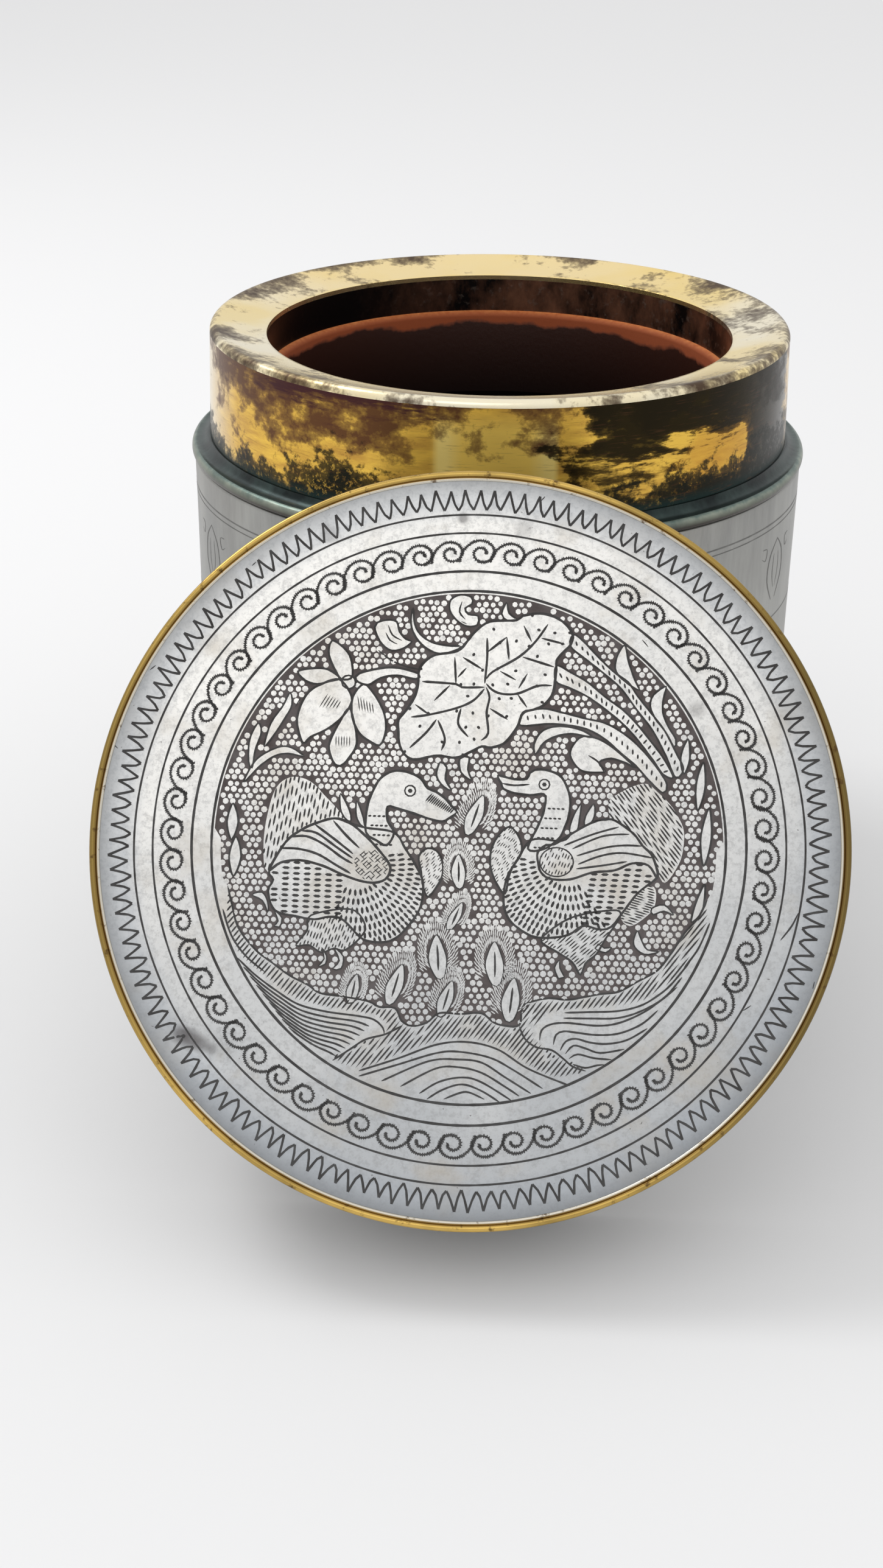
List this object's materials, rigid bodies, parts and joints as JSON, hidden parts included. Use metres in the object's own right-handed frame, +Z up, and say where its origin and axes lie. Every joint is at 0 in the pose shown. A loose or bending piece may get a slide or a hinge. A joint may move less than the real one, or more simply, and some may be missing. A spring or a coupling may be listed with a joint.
{
  "type": "tea tin",
  "caption": "Round pewter tea tin with a brass collar, a pottery liner and an engraved lift-off lid leaning against its front.",
  "frame": {"origin": "centre of the tin's flat base, where it stands on the table", "axes": "+Z up along the tin's axis, -Y towards the lid that leans against the front"},
  "size_m": [0.108, 0.168, 0.0996],
  "materials": {
    "pewter": "satin",
    "brass": "satin",
    "redware": "gloss"
  },
  "bodies": {
    "tin": {"base_plate": "pewter", "body_wall": "pewter", "shoulder_ring": "pewter", "collar_sleeve": "brass", "collar_top": "brass", "mouth_sleeve": "brass", "liner": "redware"},
    "lid": {"lid_skirt": "pewter", "lid_top": "pewter", "lid_bead": "brass"}
  },
  "joints": [
    {"name": "lid_lift", "type": "slide", "parent": "tin", "child": "lid", "axis": [0, 0, 1], "range_m": [0, 0.11]}
  ]
}
